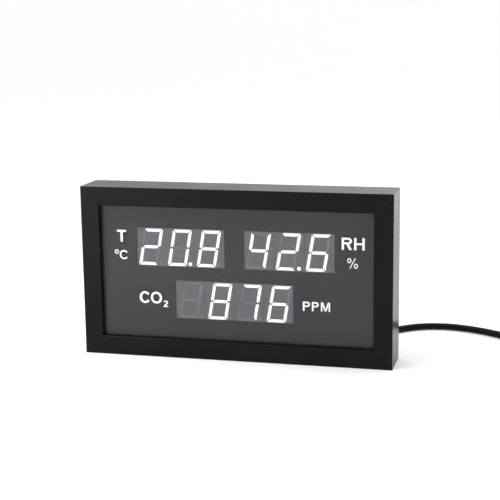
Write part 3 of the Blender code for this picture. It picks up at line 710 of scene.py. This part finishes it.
def build_plug(rubber):
    """Round earthed plug on its side: its body, two round pins with domed tips, and the two
    earth contacts, which are strips bowed outwards by a half sine."""
    heading = np.array((math.cos(TAIL_HEADING), math.sin(TAIL_HEADING), 0.0))
    sideways = np.array((-heading[1], heading[0], 0.0))
    start = TAIL_END + heading * PLUG_START
    body = stand(plug_grid(), start, heading, sideways)
    plug = assemble("mains_plug", [body], rubber)
    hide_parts("plug_body")
    nickel = plated_metal("nickel plated brass", "#B4B1A8", "#CBC8C0", 0.22, 0.3 * MM)
    dome = np.linspace(0, np.pi / 2, 9)[:-1]
    pin_radius = np.concatenate([(2.4, 2.4, 2.4), 1.2 + 1.2 * np.cos(dome)]) * MM
    pin_height = np.concatenate([(-0.2, 6.0, 17.6), 17.8 + 1.2 * np.sin(dome)]) * MM
    pins = [stand(round_about(pin_radius, pin_height, 40),
                  start + heading * PIN_FOOT + sideways * away, heading, sideways)
            for away in (-PIN_SPACING / 2, PIN_SPACING / 2)]
    pins = assemble("mains_plug_pins", pins, nickel)
    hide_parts("plug_pin_1", "plug_pin_2")
    run = np.linspace(CLIP_START, CLIP_END, 15)
    bow = (15.75 + 1.1 * np.sin(np.pi * (run - CLIP_START) / (CLIP_END - CLIP_START))) * MM
    clips = []
    for up in (-1, 1):
        strip = [np.stack([np.full(len(run), across), up * (bow + lift), run * MM], axis=1)
                 for across, lift in np.array(CLIP_SECTION) * MM]
        clips.append(stand(np.stack(strip, axis=1), start, heading, sideways))
    clips = assemble("mains_plug_contacts", clips, nickel)
    return plug, pins, clips


class MONITOR_OT_frame(bpy.types.Operator):
    """Finish the four frame lengths and the brackets inside their corners"""
    bl_idname = "monitor.frame"
    bl_label = "Frame"

    def execute(self, context):
        dress(anodised_aluminium(), "frame_left", "frame_top", "frame_right", "frame_bottom")
        zinc = plated_metal("zinc plated steel", "#AEB2B6", "#C3C7CB", 0.34, 0.6 * MM)
        dress(zinc, *(f"corner_bracket_{index}" for index in range(1, 5)))
        return {"FINISHED"}


class MONITOR_OT_window(bpy.types.Operator):
    """Finish the smoked window and the black mask behind it"""
    bl_idname = "monitor.window"
    bl_label = "Window and mask"

    def execute(self, context):
        dress(smoked_acrylic(), "front_window")
        mask = moulded_plastic("polycarbonate film, matt black", "#121213", "#161617", 0.60,
                               0.4 * MM, 0.02 * MM)
        dress(mask, "display_mask")
        return {"FINISHED"}


class MONITOR_OT_digits(bpy.types.Operator):
    """Build the light segments and points on the digit modules"""
    bl_idname = "monitor.digits"
    bl_label = "Digits"

    def execute(self, context):
        sizes = context.scene.monitor_sizes
        colours = context.scene.monitor_colours
        face = moulded_plastic("ABS digit housing, grey faced", "#8B8E93", "#93969B", 0.55,
                               0.6 * MM, 0.03 * MM)
        lit = segment_light(colours.light, colours.light_strength)
        unlit = moulded_plastic("diffusing epoxy, unlit", "#9EA3A8", "#A6ABB0", 0.40,
                                0.6 * MM, 0.02 * MM)
        dark_shells = []
        for row, reading, point_after, right, up in DISPLAY_ROWS:
            lit_shells = []
            for index, figure in enumerate(reading):
                node = f"{row}_{index + 1}"
                dress(face, node)
                low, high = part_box(node)
                centre = ((low.x + high.x) / 2 + right, low.y, (low.z + high.z) / 2 + up)
                for segment, outline in segment_outlines(sizes).items():
                    on = segment in LIT_SEGMENTS[figure]
                    raised = raised_outline(outline, centre)
                    (lit_shells if on else dark_shells).append(raised)
                point = raised_outline(point_outline(sizes), centre)
                (lit_shells if index == point_after else dark_shells).append(point)
            assemble(f"{row}_lit_segments", lit_shells, lit)
        assemble("unlit_segments", dark_shells, unlit)
        return {"FINISHED"}


def segment_outlines(sizes):
    """The seven segments of one figure as outlines about its centre. Each is a bar whose ends
    are cut at 45 degrees so that neighbours meet in a thin mitre; the figure leans by the
    slant, so a point moves sideways by its height times the slant's tangent."""
    x = sizes.digit_width / 2
    z = sizes.digit_height / 2
    bar = sizes.stroke
    gap = SEGMENT_GAP
    trim = SEGMENT_TRIM
    top = [(-x + gap + trim, z), (x - gap - trim, z), (x - gap - trim / 2, z - trim / 2),
           (x - bar - gap, z - bar), (-x + bar + gap, z - bar), (-x + gap + trim / 2, z - trim / 2)]
    upper = [(x, z - gap - trim), (x, bar * 0.25 + gap), (x - bar / 2, gap),
             (x - bar, bar / 2 + gap), (x - bar, z - bar - gap), (x - trim / 2, z - gap - trim / 2)]
    middle = [(-x + bar / 2 + gap, 0), (-x + bar + gap, bar / 2), (x - bar - gap, bar / 2),
              (x - bar / 2 - gap, 0), (x - bar - gap, -bar / 2), (-x + bar + gap, -bar / 2)]
    shapes = {
        "a": np.array(top),
        "b": np.array(upper),
        "c": np.array(upper) * (1, -1),
        "d": np.array(top) * (1, -1),
        "e": np.array(upper) * (-1, -1),
        "f": np.array(upper) * (-1, 1),
        "g": np.array(middle),
    }
    lean = math.tan(sizes.slant)
    return {name: shape + shape[:, 1:] * (lean, 0) for name, shape in shapes.items()}


def point_outline(sizes):
    """The round point at a figure's lower right."""
    place = np.array(POINT_PLACE) - (0, sizes.digit_height / 2)
    return place + POINT_RADIUS * facing(circle(24))


def raised_outline(outline, centre):
    """A flat-topped light window: the outline at the module's face, carried forward, then
    drawn in by a narrow round edge towards its own middle."""
    middle = outline.mean(axis=0)
    levels = ((1.0, -0.02 * MM), (1.0, 0.10 * MM), (0.985, 0.16 * MM), (0.955, 0.20 * MM))
    rows = []
    for share, rise in levels:
        flat = middle + (outline - middle) * share
        rows.append(np.stack([centre[0] + flat[:, 0], np.full(len(flat), centre[1] - rise),
                              centre[2] + flat[:, 1]], axis=1))
    return shell(np.stack(rows), wrap_v=True, caps=True)


class MONITOR_OT_legends(bpy.types.Operator):
    """Print the unit legends on the window's front"""
    bl_idname = "monitor.legends"
    bl_label = "Unit legends"

    def execute(self, context):
        white = printed_ink("screen ink, white", "#F4F4F4", "#FBFBFB")
        # The right-hand legends get a darker copy of the same white ink: painted shade, because
        # that side of the display stands in less light
        white_ink_painted_shade = printed_ink("screen ink, white, painted shade", "#E6E5DE", "#EEEDE7")
        for name, marks, ink in (("legends_left", LEFT_LEGENDS, white),
                                 ("legends_right", RIGHT_LEGENDS, white_ink_painted_shade)):
            shells = []
            for glyph, weight, low_x, high_x, low_z, high_z in marks:
                span = np.array((high_x - low_x, high_z - low_z))
                ribbons = glyph_ribbons(glyph, weight, span[0] / span[1])
                points = np.vstack([np.vstack(ribbon[:2]) for ribbon in ribbons])
                low = points.min(axis=0)
                scale = span / (points.max(axis=0) - low)
                for *edges, ring in ribbons:
                    placed = [((low_x, low_z) + (edge - low) * scale) * MM for edge in edges]
                    shells.append(ink_slab(placed, ring))
            assemble(name, shells, ink)
        return {"FINISHED"}


def ink_slab(edges, ring):
    """Ink between two edges, 0.04 mm thick: at each step along the edges its section is the
    rectangle between them."""
    front = WINDOW_FRONT - 0.06 * MM
    back = WINDOW_FRONT - 0.02 * MM
    corners = ((0, front), (1, front), (1, back), (0, back))
    grid = np.stack([np.insert(edges[side], 1, y, axis=1) for side, y in corners], axis=1)
    return shell(grid, wrap_u=ring, wrap_v=True, caps=not ring)


def ellipse_band(centre, outer, inner, start=0.0, stop=360.0, count=40):
    """Band between two ellipses about one centre, from one angle to another in degrees."""
    ring = stop - start >= 360.0
    way = facing(np.radians(np.linspace(start, stop, count, endpoint=not ring)))
    return centre + way * outer, centre + way * inner, ring


def straight(start, end, other_start, other_end):
    """Band between two straight edges."""
    return np.array((start, end), float), np.array((other_start, other_end), float), False


def glyph_ribbons(glyph, weight, aspect):
    """Strokes of one sign, each a band between two edges, in a box one unit high and aspect
    wide. weight is the width of an upright stroke; level strokes are a little thinner."""
    w = aspect
    s = weight
    t = weight * 0.85
    stem = straight((0, 0), (0, 1), (s, 0), (s, 1))
    if glyph == "T":
        return [straight((0, 1), (w, 1), (0, 1 - t), (w, 1 - t)),
                straight((w / 2 - s / 2, 0), (w / 2 - s / 2, 1 - t),
                         (w / 2 + s / 2, 0), (w / 2 + s / 2, 1 - t))]
    if glyph == "H":
        return [stem, straight((w - s, 0), (w - s, 1), (w, 0), (w, 1)),
                straight((s, 0.5 + t / 2), (w - s, 0.5 + t / 2), (s, 0.5 - t / 2),
                         (w - s, 0.5 - t / 2))]
    if glyph == "M":
        side = s * 0.85
        start = s * 0.3
        run = s * 1.05
        foot = run * 0.42
        return [straight((0, 0), (0, 1), (side, 0), (side, 1)),
                straight((w - side, 0), (w - side, 1), (w, 0), (w, 1)),
                straight((start, 1), (w / 2 - foot, 0), (start + run, 1), (w / 2 + foot, 0)),
                straight((w - start, 1), (w / 2 + foot, 0), (w - start - run, 1),
                         (w / 2 - foot, 0))]
    if glyph in "PR":
        bowl, tuck = (0.285, 0.98) if glyph == "P" else (0.27, 1.04)
        reach = w - bowl * tuck
        round_end = facing(np.radians(np.linspace(90, -90, 17)))
        centre = np.array((reach, 1 - bowl))
        outer = np.vstack([(s, 1), centre + round_end * bowl, (s, 1 - 2 * bowl)])
        inner = np.vstack([(s, 1 - t), centre + round_end * (bowl - s * 0.98, bowl - t),
                           (s, 1 - 2 * bowl + t)])
        bands = [stem, (outer, inner, False)]
        if glyph == "R":
            bands.append(straight((w * 0.40, 1 - 2 * bowl + t * 0.4), (w - s * 1.22, 0),
                                  (w * 0.40 + s * 1.15, 1 - 2 * bowl + t * 0.4), (w, 0)))
        return bands
    middle = (w / 2, 0.5)
    if glyph == "O":
        return [ellipse_band(middle, middle, (w / 2 - s, 0.5 - t))]
    if glyph == "C":
        return [ellipse_band(middle, middle, (w / 2 - s, 0.5 - t), 36.0, 324.0)]
    if glyph == "degree":
        return [ellipse_band(middle, middle, (w / 2 - s * w, 0.5 - s * w))]
    if glyph == "2":
        top = ellipse_band((w / 2, 0.70), (w / 2, 0.30), (w / 2 - s, 0.30 - t), 172.0, -28.0)
        slope = straight(top[0][-1], (s * 1.45, t), top[1][-1], (0, t))
        return [top, slope, straight((0, 0), (w, 0), (0, t), (w, t))]
    if glyph == "%":
        ring = np.array((w * 0.19, 0.245))
        sizes = (ring, ring - (s, s * 0.9))
        return [ellipse_band((ring[0], 1 - ring[1]), *sizes),
                ellipse_band((w - ring[0], ring[1]), *sizes),
                straight((ring[0], 0), (w * 0.72, 1), (ring[0] + s, 0), (w * 0.72 + s, 1))]
    raise ValueError(f"no strokes for {glyph}")


class MONITOR_OT_back(bpy.types.Operator):
    """Finish the rear cover, and build its screws and its two push buttons"""
    bl_idname = "monitor.back"
    bl_label = "Rear cover"

    def execute(self, context):
        dress(powder_coat(), "rear_cover")
        zinc = plated_metal("zinc plated steel, black passivated", "#3A3B3D", "#4B4C4F", 0.32,
                            0.4 * MM)
        screws = []
        names = [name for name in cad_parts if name.startswith("cover_screw_")]
        for index, name in enumerate(sorted(names)):
            low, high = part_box(name)
            foot = ((low.x + high.x) / 2, high.y, (low.z + high.z) / 2)
            turn = math.radians(23 + 37 * index)
            across = (math.cos(turn), 0, math.sin(turn))
            screws.append(stand(screw_grid(), foot, (0, 1, 0), across))
        piece = assemble("cover_screws", screws, zinc, crease=50.0)
        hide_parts(*names)
        plastic = moulded_plastic("ABS, moulded, charcoal", "#2B2B2D", "#343436", 0.38, 0.5 * MM,
                                  0.03 * MM)
        for name in ("calibrate_button", "brightness_button"):
            low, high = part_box(name)
            grid = round_about(*button_profile(high.y - low.y), 48)
            foot = ((low.x + high.x) / 2, high.y, (low.z + high.z) / 2)
            cap = assemble(f"{name}_cap", [stand(grid, foot, (0, 1, 0), (1, 0, 0))],
                           plastic, body=name)
            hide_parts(name)
        return {"FINISHED"}


def screw_grid():
    """Pan head with a cross recess, seen from its top at height 0: the height is a dome that
    falls with the fourth power of the radius, less the recess, which is as deep as the nearer
    of two crossed bars; below the rim come its flat underside and its shank."""
    radius = np.concatenate([np.linspace(0.12, 2.65, 26), (2.75, 2.8)]) * MM
    angle = circle(80)
    x = radius[:, None] * np.cos(angle)
    y = radius[:, None] * np.sin(angle)
    dome = -1.5 * MM * (radius[:, None] / (2.8 * MM)) ** 4
    bar = np.maximum(1 - step_up(np.abs(x), 0.26 * MM, 0.42 * MM),
                     1 - step_up(np.abs(y), 0.26 * MM, 0.42 * MM))
    recess = bar * (1 - step_up(radius[:, None], 1.25 * MM, 1.6 * MM))
    height = dome - 0.9 * MM * recess
    below = np.array(((2.8, -1.7), (1.4, -1.7), (1.4, -6.7), (1.2, -6.9))) * MM
    around = np.ones((1, len(angle)))
    radii = np.vstack([radius[:, None] * around, below[:, :1] * around])
    heights = np.vstack([height, below[:, 1:] * around])
    return round_about(radii, heights, len(angle))


def button_profile(length):
    """Radius and height of a push button from its dished finger face at height 0 down to the
    end of its stem: the dish deepens with the square of the distance from the rim."""
    dish = np.linspace(0.25, 2.7, 12)
    face = np.stack([dish, -0.35 * (1 - (dish / 2.7) ** 2)], axis=1)
    turn = np.linspace(0, np.pi / 2, 7)
    rim = np.stack([2.9 + 0.4 * np.sin(turn), -0.4 + 0.4 * np.cos(turn)], axis=1)
    low = -length / MM
    rest = np.array(((3.3, -4.1), (5.0, -4.1), (5.0, -5.9), (2.0, -5.9), (2.0, low)))
    return (np.vstack([face, rim, rest]) * MM).T


class MONITOR_OT_inside(bpy.types.Operator):
    """Finish the boards and what stands on them"""
    bl_idname = "monitor.inside"
    bl_label = "Inside"

    def execute(self, context):
        dress(circuit_board(), "display_board", "main_board", "power_board")
        dress(plated_metal("brass, turned", "#B08A3E", "#C9A352", 0.30, 0.5 * MM),
              *(f"board_spacer_{index}" for index in range(1, 5)))
        dress(plated_metal("gold flashed steel", "#BCA265", "#D0B87C", 0.34, 0.5 * MM),
              "co2_sensor")
        dress(moulded_plastic("nylon, natural", "#D8D4C8", "#E3E0D6", 0.50, 0.6 * MM, 0.03 * MM),
              "main_standoff_1", "main_standoff_2", "power_standoff_1", "power_standoff_2",
              "humidity_sensor")
        dress(moulded_plastic("glass-filled nylon, black", "#19191A", "#232325", 0.48, 0.5 * MM,
                              0.05 * MM),
              "board_header", "microcontroller", "tact_switch_1", "tact_switch_2",
              "power_converter", "fuse_holder")
        dress(moulded_plastic("polyamide, green", "#1F7A3C", "#2A8B48", 0.45, 0.5 * MM,
                              0.04 * MM), "terminal_block")
        dress(cord_sheath(), "supply_cable", "mains_lead_inner_end")
        return {"FINISHED"}


class MONITOR_OT_stage(bpy.types.Operator):
    """Set the floor and the studio light"""
    bl_idname = "monitor.stage"
    bl_label = "Floor and light"

    def add_lamp(self, name, kind, energy):
        """A lamp that shines so strongly."""
        lamp = put(name, bpy.data.lights.new(name, kind))
        lamp.data.energy = energy
        return lamp

    def light_world(self, context):
        """Light from all round, stronger from behind. The camera itself sees plain white."""
        world = bpy.data.worlds.new("studio")
        context.scene.world = world
        world.use_nodes = True
        tree = world.node_tree
        tree.nodes.clear()
        heading = add(tree, "ShaderNodeTexCoord").outputs["Generated"]
        parts = add(tree, "ShaderNodeSeparateXYZ", {"Vector": heading}).outputs
        shares = []
        for value, start, stop, low, high in ((parts["Y"], -0.6, 0.8, WORLD_FRONT, WORLD_BACK),
                                              (parts["X"], -0.32, -0.04, WORLD_LEFT, 1.0)):
            limits = {"Value": value, "From Min": start, "From Max": stop, "To Min": low,
                      "To Max": high}
            share = add(tree, "ShaderNodeMapRange", limits, interpolation_type="SMOOTHSTEP")
            shares.append(share.outputs["Result"])
        rays = add(tree, "ShaderNodeLightPath")
        shown = add(tree, "ShaderNodeMix", {"Factor": rays.outputs["Is Camera Ray"],
                                           "A": math_node("MULTIPLY", *shares), "B": 1.0})
        light = add(tree, "ShaderNodeBackground", {"Color": linear("#FFFFFF"),
                                                  "Strength": shown.outputs["Result"]})
        add(tree, "ShaderNodeOutputWorld", {"Surface": light.outputs["Background"]})

    def execute(self, context):
        edges = (-FLOOR_REACH, 0.0, FLOOR_REACH)
        across, along = np.meshgrid(edges, edges, indexing="ij")
        points, faces = shell(np.stack([across, along, np.full_like(across, FLOOR_Z)], axis=-1))
        mesh = bpy.data.meshes.new("studio_floor")
        mesh.from_pydata(points.tolist(), [], faces)
        mesh.materials.append(floor_paper())
        floor = put("studio_floor", mesh)
        self.light_world(context)
        context.scene.view_settings.view_transform = "Standard"
        comes_from, strength, spread_angle = SUN
        lamp = self.add_lamp("sun", "SUN", strength)
        lamp.data.angle = math.radians(spread_angle)
        lamp.rotation_euler = Vector(comes_from).to_track_quat("Z", "Y").to_euler()
        for name, place, side, power, target in SOFTBOXES:
            lamp = self.add_lamp(name, "AREA", power)
            lamp.data.size = side
            lamp.location = place
            aim = Vector(place) - Vector(target)
            lamp.rotation_euler = aim.to_track_quat("Z", "Y").to_euler()
        return {"FINISHED"}


OPERATORS = (
    MONITOR_OT_camera,
    MONITOR_OT_lead,
    MONITOR_OT_frame,
    MONITOR_OT_window,
    MONITOR_OT_digits,
    MONITOR_OT_legends,
    MONITOR_OT_back,
    MONITOR_OT_inside,
    MONITOR_OT_stage,
)


class MONITOR_PT_panel(bpy.types.Panel):
    """Lists the monitor's pieces"""
    bl_idname = "MONITOR_PT_panel"
    bl_label = "Carbon dioxide monitor"
    bl_space_type = "VIEW_3D"
    bl_region_type = "UI"
    bl_category = "Monitor"

    def draw(self, context):
        for operator in OPERATORS:
            self.layout.operator(operator.bl_idname)


GROUPS = (
    ("monitor_camera", MonitorCamera),
    ("monitor_sizes", MonitorSizes),
    ("monitor_colours", MonitorColours),
)


def register():
    for name, group in GROUPS:
        bpy.utils.register_class(group)
        setattr(bpy.types.Scene, name, bpy.props.PointerProperty(type=group))
    for operator in OPERATORS:
        bpy.utils.register_class(operator)
    bpy.utils.register_class(MONITOR_PT_panel)


def unregister():
    bpy.utils.unregister_class(MONITOR_PT_panel)
    for operator in reversed(OPERATORS):
        bpy.utils.unregister_class(operator)
    for name, group in reversed(GROUPS):
        delattr(bpy.types.Scene, name)
        bpy.utils.unregister_class(group)


def main():
    register()
    for operator in OPERATORS:
        category, command = operator.bl_idname.split(".")
        getattr(getattr(bpy.ops, category), command)()


if __name__ == "__main__":
    main()
